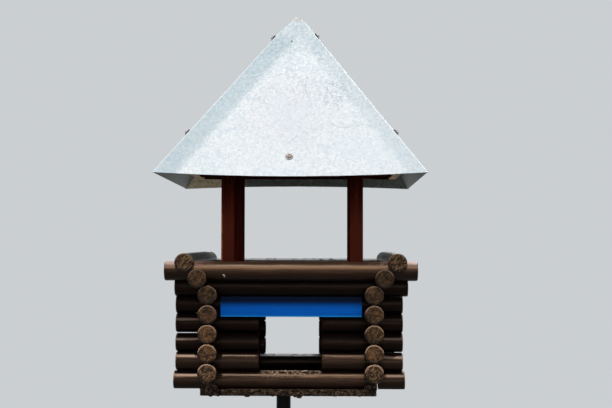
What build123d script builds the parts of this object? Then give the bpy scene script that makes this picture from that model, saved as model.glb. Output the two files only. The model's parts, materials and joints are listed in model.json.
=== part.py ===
from build123d import *
from math import hypot, sqrt
import os

# Log-cabin bird feeder on a pole, in millimetres.
# The origin is the middle of the pole's foot on the ground, +Z is up and the front faces -Y.
# The cabin is drawn about its own upright axis, which stands to the right of the pole.

# Small gaps between pieces that touch
SEAT = 0.2
SHEET_CLEARANCE = 0.3

# Pole
POLE_DIAMETER = 33.7
POLE_TOP = 1200.0
POLE_TO_CABIN = 24.0
FLANGE_WIDTH = 70.0
FLANGE_THICKNESS = 3.0

# Floor board, with the cabin's axis as zero
FLOOR_THICKNESS = 14.0
FLOOR_DEPTH = 410.0
FLOOR_LEFT = 200.0
FLOOR_RIGHT = 188.0
SILL_GAP = 3.0

# Logs: side log n rests on front log n, and front log n on side log n + 1, counted from the top
LOG_DIAMETER = 41.2
LOG_GAP = 0.8
TOP_LOG_GAP = 2.8
LOG_END_CHAMFER = 2.0
COURSES = 7
SEAT_SHARE = 0.476
FRONT_LOG_SHIFT = -5.0

# Walls: the width is between the middles of opposite walls, and a log runs past the crossing by its overhang
WALL_WIDTH = 360.0
LOG_OVERHANG = 70.0
BOTTOM_FRONT_OVERHANG = 74.5
BOTTOM_FRONT_FLAT = 3.0

# The flare of the top two courses, each a step out from the course below it
FLARED_COURSES = 2
SECOND_COURSE_OUT = 22.0
SECOND_COURSE_OVERHANG = 53.0
TOP_COURSE_OUT = 28.0
TOP_FRONT_OVERHANG = 44.0
TOP_SIDE_OVERHANG = 25.0

# Window openings in the front and back walls
WINDOW_TOP_COURSE = 4
WINDOW_BOTTOM_COURSE = 6
FRONT_WINDOW_LEFT = 70.0
FRONT_WINDOW_RIGHT = 66.0
BACK_WINDOW_LEFT = 77.0
BACK_WINDOW_RIGHT = 59.0

# Blue boards over the windows
BOARD_WIDTH = 309.0
BOARD_HEIGHT = 44.0
BOARD_THICKNESS = 9.0
BOARD_DROP = 26.5

# Corner posts
POST_WIDTH = 29.0
POST_LENGTH = 488.0
POST_GAP = 0.5

# Roof, whose middle shifts from the cabin's axis a little to the left at the eaves and to the right at the tip
ROOF_HALF_WIDTH = 292.0
ROOF_HEIGHT = 390.0
TIP_WIDTH = 18.0
EAVE_SHIFT = -1.2
TIP_SHIFT = 5.5
SHEET_THICKNESS = 1.2
HIP_FLANGE = 18.0
EAVE_FALL = 6.0
FRONT_EAVE_SAG = 9.0
BACK_EAVE_RISE = 6.0

# Timber frame inside the roof
RING_ABOVE_EAVE = 17.0
RAIL_HEIGHT = 26.0
RAIL_WIDTH = 18.0
RAFTER_WIDTH = 22.0
RAFTER_DEPTH = 24.0

# Derived sizes
log_radius = LOG_DIAMETER / 2
wall_half = WALL_WIDTH / 2
floor_top = POLE_TOP + FLOOR_THICKNESS
bottom_front_z = floor_top + SEAT + log_radius - BOTTOM_FRONT_FLAT
course_rise = LOG_DIAMETER + LOG_GAP
sill_z = bottom_front_z - course_rise * SEAT_SHARE
post_top = floor_top + POST_LENGTH
post_middle = wall_half - log_radius - POST_GAP - POST_WIDTH / 2
eave_z = post_top - RING_ABOVE_EAVE
tip_z = eave_z + ROOF_HEIGHT
slope = ROOF_HEIGHT / (ROOF_HALF_WIDTH - TIP_WIDTH / 2)
slope_length = hypot(1, slope)
sheet_across = SHEET_THICKNESS * slope_length / slope
sheet_gap_across = SHEET_CLEARANCE * slope_length / slope
inner_offset = -sheet_across - sheet_gap_across
ring_top = post_top + RAIL_HEIGHT
rail_outer = ROOF_HALF_WIDTH - (ring_top - eave_z) / slope + inner_offset
rail_inner = rail_outer - RAIL_WIDTH
ring_shift = EAVE_SHIFT + (TIP_SHIFT - EAVE_SHIFT) * (ring_top - eave_z) / ROOF_HEIGHT
far = 4 * (ROOF_HALF_WIDTH + ROOF_HEIGHT)
cutter_margin = TIP_WIDTH / 4


# Courses

def course_out(course):
    """How far a course stands out from the straight walls."""
    if course > FLARED_COURSES:
        return 0.0
    if course == FLARED_COURSES:
        return SECOND_COURSE_OUT
    return SECOND_COURSE_OUT + TOP_COURSE_OUT


def side_height(course):
    """Height of a side log's axis; the course below the last is the half-round sill."""
    if course > COURSES:
        return sill_z
    if course > FLARED_COURSES:
        return side_height(course + 1) + course_rise
    step = course_out(course) - course_out(course + 1)
    spacing = LOG_DIAMETER + (LOG_GAP if course == FLARED_COURSES else TOP_LOG_GAP)
    return side_height(course + 1) + sqrt(spacing ** 2 - step ** 2)


def front_height(course):
    """Height of a front or back log's axis, between the side logs below and above it."""
    below = side_height(course + 1)
    return below + (side_height(course) - below) * SEAT_SHARE


def log_length(course, top_overhang, bottom_overhang):
    """Length of a course's logs, whose crossings are the course's own width apart."""
    overhangs = {1: top_overhang, FLARED_COURSES: SECOND_COURSE_OVERHANG, COURSES: bottom_overhang}
    return 2 * (wall_half + course_out(course) + overhangs.get(course, LOG_OVERHANG))


# Logs

def rod(length, radius):
    """A round log along X, centred on the origin, with its end edges taken off."""
    log = Cylinder(radius, length, rotation=(0, 90, 0))
    return chamfer(log.edges().filter_by(GeomType.CIRCLE), LOG_END_CHAMFER)


def saddle(length):
    """The cutter for a notch that fits over a crossing log along X."""
    return Cylinder(log_radius + SEAT, length, rotation=(0, 90, 0))


def lower_saddle(course, side_x):
    """The notch of a front or back log over the side log or sill below it."""
    x = side_x * (wall_half + course_out(course + 1))
    cutter = Pos(x, 0, side_height(course + 1)) * Rot(0, 0, 90) * saddle(far)
    if course == COURSES:
        for edge, hand in ((-FLOOR_LEFT, -1), (FLOOR_RIGHT, 1)):
            cutter -= Pos(edge + hand * (SILL_GAP + far / 2), 0, sill_z) * Box(far, 2 * far, far)
    return cutter


def cross_log(course, side, shift):
    """A whole front (side -1) or back (side 1) log, notched over the side logs below it; the last lies flat."""
    y = side * (wall_half + course_out(course))
    length = log_length(course, TOP_FRONT_OVERHANG, BOTTOM_FRONT_OVERHANG)
    log = Pos(shift, y, front_height(course)) * rod(length, log_radius)
    if course == COURSES:
        log -= Pos(0, y, floor_top + SEAT - far / 2) * Box(far, far, far)
    return log - lower_saddle(course, -1) - lower_saddle(course, 1)


def side_log(course, side):
    """A left (side -1) or right (side 1) log, notched over the front and back logs below it."""
    x = side * (wall_half + course_out(course))
    length = log_length(course, TOP_SIDE_OVERHANG, LOG_OVERHANG)
    log = Pos(x, 0, side_height(course)) * Rot(0, 0, 90) * rod(length, log_radius)
    for end in (-1, 1):
        y = end * (wall_half + course_out(course))
        log -= Pos(x, y, front_height(course)) * saddle(4 * LOG_DIAMETER)
    return log


def windowed_log(log, side, left, right):
    """A front or back log with the window's width cut out of it: two solids that don't touch."""
    width = left + right
    gap = Box(width, 4 * LOG_DIAMETER, far)
    return log - Pos((right - left) / 2, side * wall_half, floor_top) * gap


def sill(side):
    """The half-round log that lies on the floor board under a side wall."""
    log = Pos(side * wall_half, 0, sill_z) * Rot(0, 0, 90) * Cylinder(log_radius, FLOOR_DEPTH, rotation=(0, 90, 0))
    below = Pos(side * wall_half, 0, floor_top - log_radius) * Box(4 * log_radius, far, 2 * log_radius)
    log -= below
    right_excess = log_radius - (FLOOR_RIGHT - wall_half)
    if side > 0 and right_excess > 0:
        log -= Pos(FLOOR_RIGHT + far / 2, 0, sill_z) * Box(far, far, far)
    return log


# Floor, pole, posts and boards

def floor_board():
    """The board that carries the cabin."""
    width = FLOOR_LEFT + FLOOR_RIGHT
    middle = (FLOOR_RIGHT - FLOOR_LEFT) / 2
    return Pos(middle, 0, POLE_TOP + FLOOR_THICKNESS / 2) * Box(width, FLOOR_DEPTH, FLOOR_THICKNESS)


def pole():
    """The round pole with the flange plate on its top, which is screwed under the floor board."""
    tube_height = POLE_TOP - FLANGE_THICKNESS
    tube = Pos(0, 0, tube_height / 2) * Cylinder(POLE_DIAMETER / 2, tube_height)
    plate = Pos(0, 0, POLE_TOP - FLANGE_THICKNESS / 2) * Box(FLANGE_WIDTH, FLANGE_WIDTH, FLANGE_THICKNESS)
    return Pos(-POLE_TO_CABIN, 0, 0) * (tube + plate)


def corner_post(side_x, side_y):
    """A square post from the floor board to the cross beam over it."""
    middle = floor_top + POST_LENGTH / 2
    return Pos(side_x * post_middle, side_y * post_middle, middle) * Box(POST_WIDTH, POST_WIDTH, POST_LENGTH)


def window_board(side):
    """The flat board nailed on the log over a window, between the ends of the side logs."""
    log_z = front_height(WINDOW_TOP_COURSE - 1)
    y = side * (wall_half + log_radius + SEAT + BOARD_THICKNESS / 2)
    z = log_z - BOARD_DROP + BOARD_HEIGHT / 2
    return Pos(0, y, z) * Box(BOARD_WIDTH, BOARD_THICKNESS, BOARD_HEIGHT)


# Roof sheets

def roof_half(z):
    """Half the width of the pyramid's outer faces at a height."""
    return ROOF_HALF_WIDTH - (z - eave_z) / slope


def roof_middle(z):
    """The middle of the pyramid at a height: the tip leans a little to the right."""
    return EAVE_SHIFT + (TIP_SHIFT - EAVE_SHIFT) * (z - eave_z) / ROOF_HEIGHT


def pyramid(front, back, left, right, low, high):
    """The space inside the four roof planes, each moved outwards by its own offset."""
    rings = []
    for z in (low, high):
        half = roof_half(z)
        left_x = roof_middle(z) - half - left
        right_x = roof_middle(z) + half + right
        rings.append([Vector(left_x, -half - front, z), Vector(right_x, -half - front, z),
                      Vector(right_x, half + back, z), Vector(left_x, half + back, z)])
    bottom, top = rings
    outlines = [bottom, top]
    for corner in range(4):
        following = (corner + 1) % 4
        outlines.append([bottom[corner], bottom[following], top[following], top[corner]])
    faces = [Face(Wire.make_polygon(outline, close=True)) for outline in outlines]
    return Solid(Shell(faces))


def eave_end(side):
    """Height of the front (side -1) or back (side 1) eave at its corners."""
    return eave_z if side < 0 else eave_z - EAVE_FALL


def below_end_eave(side, drop):
    """The space below a front or back eave that bows down by drop in its middle."""
    z = eave_end(side)
    reach = ROOF_HALF_WIDTH + HIP_FLANGE
    arc = ThreePointArc((-reach, z), (0, z - drop), (reach, z))
    rim = Polyline((reach, z), (reach, z - far), (-reach, z - far), (-reach, z))
    profile = Pos(EAVE_SHIFT, 0, 0) * Plane.XZ * make_face(arc + rim)
    return extrude(profile, far if side < 0 else -far)


def below_side_eave():
    """The space below the side eaves, which fall from the front to the back."""
    front_y, back_y = -ROOF_HALF_WIDTH, ROOF_HALF_WIDTH
    front_z, back_z = eave_end(-1), eave_end(1)
    reach = Vector(0, far, -EAVE_FALL * far / (2 * ROOF_HALF_WIDTH))
    before = Vector(0, front_y, front_z) - reach
    after = Vector(0, back_y, back_z) + reach
    rim = Wire.make_polygon([before, after, Vector(0, after.Y, after.Z - far), Vector(0, before.Y, before.Z - far)],
                            close=True)
    return extrude(Face(rim), far, dir=(1, 0, 0), both=True)


def end_sheet(side, drop):
    """The front or back sheet, with its hips folded over the side sheets and a flap over the tip."""
    low = eave_end(side) - abs(drop)
    fold = sheet_gap_across + sheet_across
    here, there = (0, far) if side < 0 else (far, 0)
    behind = {-1: (-sheet_across, far), 1: (far, -sheet_across)}[side]
    strip = {-1: (-HIP_FLANGE, far), 1: (far, -HIP_FLANGE)}[side]
    whole = pyramid(here, there, fold, fold, low, tip_z)
    sheet = whole - pyramid(*behind, sheet_gap_across, sheet_gap_across, low - cutter_margin, tip_z + cutter_margin)
    sheet -= pyramid(*strip, far, far, low - cutter_margin, tip_z + cutter_margin)
    sheet -= Pos(0, -side * (far / 2 - SEAT), tip_z) * Box(2 * far, far, 2 * far)
    return sheet - below_end_eave(side, drop)


def side_sheet(side):
    """The left or right sheet, which lies between the front and back sheets."""
    trim = -sheet_across - sheet_gap_across
    low = eave_z - EAVE_FALL
    whole = pyramid(trim, trim, 0, 0, low, tip_z)
    sheet = whole - pyramid(far, far, -sheet_across, -sheet_across, low - cutter_margin, tip_z + cutter_margin)
    sheet -= below_side_eave()
    return sheet - Pos(roof_middle(tip_z) - side * far / 2, 0, tip_z) * Box(far, 2 * far, 2 * far)


def tip_flap():
    """The flap of the front sheet that is folded over the blunt tip."""
    half = roof_half(tip_z) + sheet_gap_across + sheet_across
    return Pos(TIP_SHIFT, 0, tip_z + SHEET_THICKNESS / 2) * Box(2 * half, 2 * half, SHEET_THICKNESS)


# Timber frame inside the roof

def end_rail(side):
    """A painted front or back rail, between the side rails."""
    y = side * (rail_outer + rail_inner) / 2
    return Pos(ring_shift, y, post_top + RAIL_HEIGHT / 2) * Box(2 * rail_inner, RAIL_WIDTH, RAIL_HEIGHT)


def side_rail(side):
    """A bare left or right rail, as long as the ring."""
    x = ring_shift + side * (rail_outer + rail_inner) / 2
    return Pos(x, 0, post_top + RAIL_HEIGHT / 2) * Box(RAIL_WIDTH, 2 * rail_outer, RAIL_HEIGHT)


def cross_beam(side):
    """A beam across two post tops, from side rail to side rail."""
    middle = post_top + RAIL_HEIGHT / 2
    return Pos(ring_shift, side * post_middle, middle) * Box(2 * rail_inner, POST_WIDTH, RAIL_HEIGHT)


def hip_rafter(side_x, side_y):
    """A rafter under a hip, from a corner of the ring to the tip, cut to fit under the sheets."""
    foot = Vector(EAVE_SHIFT + side_x * ROOF_HALF_WIDTH, side_y * ROOF_HALF_WIDTH, eave_z)
    head = Vector(TIP_SHIFT + side_x * TIP_WIDTH / 2, side_y * TIP_WIDTH / 2, tip_z)
    across = Vector(head.X - foot.X, head.Y - foot.Y, 0)
    stretch = hypot(1, ROOF_HEIGHT / across.length)
    rise = RAFTER_WIDTH * stretch
    depth = RAFTER_DEPTH * stretch
    outline = Polyline((0, rise), (across.length, ROOF_HEIGHT + rise),
                       (across.length, ROOF_HEIGHT - depth), (0, -depth), close=True)
    normal = Vector(across.Y, -across.X, 0)
    strut = extrude(Plane(origin=foot, x_dir=across, z_dir=normal) * make_face(outline), RAFTER_WIDTH / 2, both=True)
    strut = strut & pyramid(inner_offset, inner_offset, inner_offset, inner_offset, ring_top, tip_z - SHEET_THICKNESS)
    quarter_x = TIP_SHIFT + side_x * (far / 2 + SEAT / 2)
    quarter_y = side_y * (far / 2 + SEAT / 2)
    return strut & Pos(quarter_x, quarter_y, tip_z) * Box(far, far, 2 * far)


# Writing the pieces

def save(name, *solids):
    """Write one node from its solids, moved from the cabin's axis to the pole's."""
    placed = [Pos(POLE_TO_CABIN, 0, 0) * solid for shape in solids for solid in shape.solids()]
    node = placed[0] if len(placed) == 1 else Compound(children=placed)
    node.label = name
    export_step(node, f"parts/{name}.step")


def save_logs():
    """Write every log of the four walls and the two sills."""
    walls = (("front", -1, FRONT_LOG_SHIFT, FRONT_WINDOW_LEFT, FRONT_WINDOW_RIGHT),
             ("back", 1, 0.0, BACK_WINDOW_LEFT, BACK_WINDOW_RIGHT))
    for course in range(1, COURSES + 1):
        for wall, side, shift, left, right in walls:
            log = cross_log(course, side, shift if course > FLARED_COURSES else 0.0)
            if WINDOW_TOP_COURSE <= course <= WINDOW_BOTTOM_COURSE:
                log = windowed_log(log, side, left, right)
            save(f"{wall}_log_{course}", log)
        save(f"left_log_{course}", side_log(course, -1))
        save(f"right_log_{course}", side_log(course, 1))
    save("side_sills", sill(-1), sill(1))


def save_carcass():
    """Write the pole, the floor, the posts and the boards."""
    save("pole", pole())
    save("floor_board", floor_board())
    for depth, side_y in (("front", -1), ("back", 1)):
        save(f"{depth}_blue_board", window_board(side_y))
        for hand, side_x in (("left", -1), ("right", 1)):
            save(f"{depth}_{hand}_post", corner_post(side_x, side_y))


def save_roof():
    """Write the roof sheets and the frame under them."""
    save("roof_front", end_sheet(-1, FRONT_EAVE_SAG) + tip_flap())
    save("roof_back", end_sheet(1, -BACK_EAVE_RISE))
    save("roof_left", side_sheet(-1))
    save("roof_right", side_sheet(1))
    save("painted_rails", end_rail(-1), end_rail(1))
    save("bare_rails", side_rail(-1), side_rail(1))
    save("cross_beams", cross_beam(-1), cross_beam(1))
    save("hip_rafters", *[hip_rafter(x, y) for x in (-1, 1) for y in (-1, 1)])


os.makedirs("parts", exist_ok=True)
save_logs()
save_carcass()
save_roof()
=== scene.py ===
import json
import random
from math import cos, hypot, pi, radians, sin, sqrt

import bmesh
import bpy
from mathutils import Matrix, Vector, noise


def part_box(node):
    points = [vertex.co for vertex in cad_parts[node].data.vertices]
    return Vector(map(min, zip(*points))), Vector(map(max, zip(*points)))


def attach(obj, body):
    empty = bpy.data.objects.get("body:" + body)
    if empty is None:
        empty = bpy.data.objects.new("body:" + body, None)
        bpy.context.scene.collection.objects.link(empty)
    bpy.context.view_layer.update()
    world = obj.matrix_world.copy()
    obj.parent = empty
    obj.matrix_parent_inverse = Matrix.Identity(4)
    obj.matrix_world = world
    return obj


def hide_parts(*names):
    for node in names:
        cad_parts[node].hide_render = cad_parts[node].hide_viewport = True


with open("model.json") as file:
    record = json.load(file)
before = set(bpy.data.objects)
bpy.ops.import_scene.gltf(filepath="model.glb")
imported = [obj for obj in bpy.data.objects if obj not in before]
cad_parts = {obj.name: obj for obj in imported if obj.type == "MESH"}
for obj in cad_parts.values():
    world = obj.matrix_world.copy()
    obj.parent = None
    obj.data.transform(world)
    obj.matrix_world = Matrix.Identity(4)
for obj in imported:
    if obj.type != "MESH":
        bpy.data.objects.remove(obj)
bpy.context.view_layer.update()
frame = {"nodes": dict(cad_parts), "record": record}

# Units: metres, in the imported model's frame. The cabin has its own upright axis, beside the pole's.
MM = 0.001

# Camera
CAMERA_DISTANCE = 2.5462
CAMERA_HEIGHT = 1.5363
CAMERA_RIGHT = 0.0724
CAMERA_YAW_LEFT = radians(0.99)
CAMERA_PITCH_UP = radians(2.059)
CAMERA_ROLL = radians(0.112)
CAMERA_LENS = 62.678
CAMERA_SENSOR = 36.0

# Log meshes
LOG_SIDES = 56
LOG_RING_STEP = 8 * MM
LOG_CAP_RINGS = 11
LOG_SWELL = 0.45 * MM
NOTCH_CLEARANCE = 0.1 * MM
SILL_GAP = 3 * MM
WINDOW_MARGIN = 0.5 * MM
RIM_CHAMFER = 3 * MM

# Overhangs that are a little thinner and let light through: place from the cabin's axis where that begins
THIN_OVERHANGS = {"front_log_5": -200 * MM, "front_log_6": 200 * MM}

# Material slots of a log besides its paint
BARE_END = 1
PAINTED_END = 2

# Paint of the logs that don't have the plain dark one: ending of its material's name
LOG_FINISHES = {"left_log_1": "_bleached", "right_log_1": "_bleached", "back_log_1": "_dusty",
                "back_log_7": "_dusty", "front_log_1": "_rubbed", "front_log_4": "_dark_ends",
                "front_log_5": "_pale_ends", "front_log_6": "_faded", "back_log_6": "_faded",
                "front_log_7": "_perch"}

# Shares of the upright part of a log's normal between which its paler worn band, also a painted highlight,
# rises and falls; above the fall, the plain logs get painted shade
DARK_BAND = (-0.35, 0.0, 0.05, 0.45)
LOW_BAND = (0.1, 0.4, 0.48, 0.62)
HIGH_BAND = (0.25, 0.52, 0.62, 0.78)

# Heights between which the log ends get darker: painted shade under the roof and the logs above
SHADE_LOW = 1250 * MM
SHADE_HIGH = 1450 * MM

# Logs whose ends show strong saw marks
ROUGH_ENDS = ("left_log_1", "left_log_7", "right_log_1", "right_log_7")

# Roof form, as in the CAD
ROOF_HALF = 292 * MM
EAVE_Z = 1685 * MM
ROOF_HEIGHT = 390 * MM
TIP_HALF = 9 * MM
EAVE_SHIFT = -1.2 * MM
TIP_SHIFT = 5.5 * MM
TIP_SLANT = 6.5 * MM
EAVE_FALL = 6 * MM
FRONT_EAVE_SAG = 9 * MM
BACK_EAVE_RISE = 6 * MM
HIP_FLANGE = 18 * MM
SHEET_TOP = 1.2 * MM

# Roof meshes
SHEET_THICKNESS = 0.8 * MM
FOLD_RADIUS = 2 * MM
SHEET_ROWS = 52
SHEET_COLUMNS = 72
HIP_MARGIN = 24 * MM
HIP_FADE = 50 * MM
FLAT_SHARE = 0.14
TOP_MARGIN = 1 * MM

# Derived roof sizes
TIP_Z = EAVE_Z + ROOF_HEIGHT
HIP_RUN = (ROOF_HALF - TIP_HALF) / ROOF_HEIGHT
ROOF_LEAN = (TIP_SHIFT - EAVE_SHIFT) / ROOF_HEIGHT
SHEET_LEAN = hypot(1, HIP_RUN)
SHEET_FOLD = (SHEET_TOP + 0.1 * MM) * SHEET_LEAN

# Scratches on the front sheet: middle x from the cabin's axis, middle height, radius, first and last angle
SCRATCHES = (
    (115 * MM, EAVE_Z + 142 * MM, 39 * MM, -2.45, -0.75),
    (158 * MM, EAVE_Z + 70 * MM, 40 * MM, 1.2, 2.0),
    (-40 * MM, EAVE_Z + 118 * MM, 62 * MM, -0.95, -0.55),
    (73 * MM, EAVE_Z + 204 * MM, 44 * MM, 2.75, 3.2),
    (73 * MM, EAVE_Z + 204 * MM, 44 * MM, -3.2, -2.35),
)

# Middles of the front sheet's warmer patch and of its scuffed one: x from the cabin's axis, and height
WARM_PATCH = (-5 * MM, EAVE_Z + 140 * MM)
SCUFFED_PATCH = (94 * MM, EAVE_Z + 186 * MM)

# Layers of the floor board's edge: share of its height, seed, and how far it stands back, in millimetres
FLOOR_LAYERS = ((0.0, 31.0, 1.6), (0.12, 23.0, 0.6), (0.35, 17.0, 0.0), (0.52, 41.0, 0.9), (0.75, 17.5, 0.2),
                (0.93, 53.0, 0.3), (1.0, 53.0, 1.0))

# Flakes on its lower edge, in millimetres: place from the cabin's axis, width and drop
FLAKES = ((-96.0, 14.0, 3.2), (9.0, 8.0, 3.4), (17.0, 15.0, 5.6), (-176.0, 10.0, 2.2), (-160.0, 7.0, 1.6),
          (96.0, 9.0, 1.2), (150.0, 6.0, 1.0), (-40.0, 7.0, 1.1))

# Backdrop's colour, in sRGB bytes
PALE = (203, 207, 210)


# Measures from the frame

def node_box(name):
    """Lowest and highest corner of a CAD node."""
    low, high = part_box(name)
    return Vector(low), Vector(high)


cabin_x = (node_box("front_left_post")[0].x + node_box("front_right_post")[1].x) / 2
openings = {o["name"]: o["box_m"] for o in frame["record"]["physics"]["openings"]}
floor_low, floor_high = node_box("floor_board")


# Small helpers

def clamp(value, low=0.0, high=1.0):
    return max(low, min(high, value))


def linked(name, data):
    """A new object in the scene."""
    piece = bpy.data.objects.new(name, data)
    bpy.context.scene.collection.objects.link(piece)
    return piece


def new_piece(name, mesh, slot, *finishes, location=(0, 0, 0), turn=0.0):
    """A scene object that rides on the one body, with its materials in slot order."""
    piece = linked(name, mesh)
    piece.location = location
    piece.rotation_euler = (0, 0, turn)
    for finish in finishes:
        mesh.materials.append(materials[finish])
    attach(piece, "root")
    return piece


def mesh_from(bm, name, degrees=0):
    """A mesh from a bmesh, which is freed; smooth where faces meet at less than an angle."""
    bmesh.ops.recalc_face_normals(bm, faces=bm.faces)
    mesh = bpy.data.meshes.new(name)
    bm.to_mesh(mesh)
    bm.free()
    if degrees:
        smooth_by_angle(mesh, degrees)
    return mesh


def wobble(point, seed, scale):
    """Smooth noise from -1 to 1 at a point, with features of about the given size."""
    return noise.noise(Vector(point) / scale + Vector((seed * 7.31, seed * 3.77, seed * 1.93)))


def applied(piece):
    """Replace an object's mesh by the one its modifiers make."""
    bpy.context.view_layer.update()
    evaluated = piece.evaluated_get(bpy.context.evaluated_depsgraph_get())
    mesh = bpy.data.meshes.new_from_object(evaluated)
    piece.modifiers.clear()
    piece.data = mesh


def smooth_by_angle(mesh, degrees):
    """Smooth shading, with sharp edges where faces meet at more than an angle."""
    mesh.shade_smooth()
    mesh.set_sharp_from_angle(angle=radians(degrees))


def join_rings(bm, first, second, slot=0):
    """Faces between two closed rings of vertices."""
    for index in range(len(first)):
        following = (index + 1) % len(first)
        face = bm.faces.new((first[index], first[following], second[following], second[index]))
        face.material_index = slot


def loft(bm, rings, slots=None):
    """A form from rings of points with flat ends; each ring's slot is for the faces below it."""
    slots = slots or [0] * len(rings)
    made = [[bm.verts.new(point) for point in ring] for ring in rings]
    for first, second, slot in zip(made, made[1:], slots[1:]):
        join_rings(bm, first, second, slot)
    bm.faces.new(made[0])
    bm.faces.new(made[-1]).material_index = slots[-1]


# Node helpers

def srgb(colour):
    """A linear RGBA colour from sRGB bytes."""
    linear = [(c / 255 / 12.92 if c <= 10 else ((c / 255 + 0.055) / 1.055) ** 2.4) for c in colour]
    return (*linear, 1.0)


def arithmetic(operation, swapped=False):
    """A method that makes a math node from a value and a second one."""
    def method(value, other=0.0):
        pair = (other, value) if swapped else (value, other)
        return value.nodes.math(operation, *pair)
    return method


class Value:
    """What a node gives; arithmetic with it makes math nodes."""

    __add__ = arithmetic("ADD")
    __sub__ = arithmetic("SUBTRACT")
    __rsub__ = arithmetic("SUBTRACT", swapped=True)
    __mul__ = arithmetic("MULTIPLY")
    __lt__ = arithmetic("LESS_THAN")
    __gt__ = arithmetic("GREATER_THAN")
    __abs__ = arithmetic("ABSOLUTE")

    def __init__(self, nodes, socket):
        self.nodes = nodes
        self.socket = socket


class Nodes:
    """Builds the nodes of a material or of the world. Colours are sRGB bytes, or values."""

    def __init__(self, name, rough=0.5, owner=None):
        self.name = name
        self.base = None
        self.rough = rough
        self.owner = owner or bpy.data.materials.new(name)
        self.owner.use_nodes = True
        self.tree = self.owner.node_tree
        self.tree.nodes.clear()
        self.coordinates = self.value("TexCoord", "Object")

    def set(self, socket, value):
        """Put a number, a colour or another node's value into a socket."""
        if isinstance(value, Value):
            self.tree.links.new(value.socket, socket)
        elif isinstance(value, tuple) and socket.type == "RGBA":
            socket.default_value = srgb(value)
        else:
            socket.default_value = value

    def node(self, kind, settings=None, *values, **named):
        """A new node: settings, first inputs in order, and others by name (underscores for spaces)."""
        node = self.tree.nodes.new("ShaderNode" + kind)
        for name, value in (settings or {}).items():
            setattr(node, name, value)
        for socket, value in zip(node.inputs, values):
            self.set(socket, value)
        for name, value in named.items():
            self.set(node.inputs[name.replace("_", " ")], value)
        return node

    def value(self, kind, output=0, settings=None, *values, **named):
        """One output of a new node."""
        return Value(self, self.node(kind, settings, *values, **named).outputs[output])

    def math(self, operation, *values):
        return self.value("Math", 0, {"operation": operation}, *values)

    def split(self, vector=None):
        """The X, Y and Z of a vector, or else of the place on the piece."""
        parts = self.node("SeparateXYZ", Vector=vector or self.coordinates).outputs
        return [Value(self, part) for part in parts]

    def mapping(self, vector=None, **named):
        return self.value("Mapping", Vector=vector or self.coordinates, **named)

    def noise(self, scale, detail=4.0, roughness=0.6, vector=None):
        """Noise with one scale, or with one for each axis."""
        if isinstance(scale, tuple):
            scale, vector = 1.0, self.mapping(vector, Scale=scale)
        return self.value("TexNoise", "Fac", Vector=vector or self.coordinates, Scale=scale, Detail=detail,
                          Roughness=roughness)

    def ramp(self, factor, *stops):
        """A colour ramp; stops are (position, colour or grey share)."""
        node = self.node("ValToRGB", Fac=factor)
        elements = node.color_ramp.elements
        for _ in stops[2:]:
            elements.new(0.5)
        for element, (position, colour) in zip(elements, stops):
            element.position = position
            element.color = srgb(colour) if isinstance(colour, tuple) else (colour, colour, colour, 1)
        return Value(self, node.outputs["Color"])

    def between(self, value, low, high):
        """0 below low, 1 above high, smooth between them."""
        smooth = {"interpolation_type": "SMOOTHSTEP"}
        return self.value("MapRange", 0, smooth, Value=value, From_Min=low, From_Max=high)

    def mix(self, factor, first, second, blend="MIX"):
        """Two colours mixed."""
        kind = {"data_type": "RGBA", "blend_type": blend}
        return self.value("Mix", "Result", kind, Factor=factor, A=first, B=second)

    def coat(self, share, colour, rough=None):
        """Cover a share of the base with a colour, and with its roughness."""
        self.base = self.mix(share, self.base, colour)
        if rough:
            self.rough = self.mix(share, self.rough, (rough, rough, rough))

    def tint(self, colour, share=1.0):
        self.base = self.mix(share, self.base, colour, "MULTIPLY")

    def facing_up(self, low, high):
        """0 on upright faces, 1 on faces that look at the sky."""
        return self.between(self.split(self.value("NewGeometry", "Normal"))[2], low, high)

    def surface(self, bump=None, gloss=0.5, **named):
        """The shader of the base colour; bump is its height, its strength and its distance in millimetres."""
        if bump:
            height, strength, distance = bump
            named["Normal"] = self.value("Bump", Height=height, Strength=strength, Distance=distance * MM)
        return self.value("BsdfPrincipled", Base_Color=self.base, Roughness=self.rough,
                          Specular_IOR_Level=gloss, **named)

    def finish(self, shader, kind="OutputMaterial"):
        """Show a shader, and keep the material by its name."""
        self.node(kind, Surface=shader)
        materials[self.name] = self.owner

    def shade(self, bump=None, gloss=0.5, **named):
        self.finish(self.surface(bump, gloss, **named))


# Materials, by name

materials = {}


def rub_and_highlight_overhangs(n, along, start, strengths):
    """A pale band on each overhang, partly worn paint and partly a painted highlight; start is how far up it
    begins.
    """
    band = n.facing_up(start, start + 0.15) * (1.0 - n.facing_up(start + 0.22, start + 0.36))
    for hand, strength in zip((-1, 1), strengths):
        outside = n.between(along * hand, 192 * MM, 206 * MM)
        n.coat(outside * band * strength, (206, 174, 156))


def peel_ends(n, outwards, fine):
    """Bare, pinkish wood on top towards the ends, with a pale rim that is a painted highlight, and painted
    shade underneath.
    """
    peeled = n.between(outwards, 150 * MM, 225 * MM) * n.facing_up(0.3, 0.6)
    peeled *= n.between(n.noise(80.0), 0.38, 0.6)
    n.coat(peeled, n.ramp(fine, (0.4, (98, 72, 66)), (0.6, (134, 104, 97))), 190)
    # Painted shade underneath, towards the ends
    below = n.between(outwards, 200 * MM, 225 * MM) * (1.0 - n.facing_up(0.1, 0.5))
    n.coat(below * 0.7, (26, 17, 14))
    # A painted highlight on the worn rim of each end
    rim = n.between(outwards, 238 * MM, 244 * MM) * n.facing_up(0.5, 0.9)
    n.coat(rim * 0.85, (206, 178, 170))


def chew(n, along, fine, low, high):
    """Pale torn wood on top, between two places along the log."""
    chewed = n.between(along, low, low + 12 * MM) * (1.0 - n.between(along, high - 12 * MM, high))
    chewed *= n.facing_up(0.25, 0.85) * n.between(n.noise(150.0, 5.0, 0.7), 0.47, 0.6)
    n.coat(chewed, n.ramp(fine, (0.4, (86, 62, 48)), (0.6, (186, 158, 132))), 220)


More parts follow.
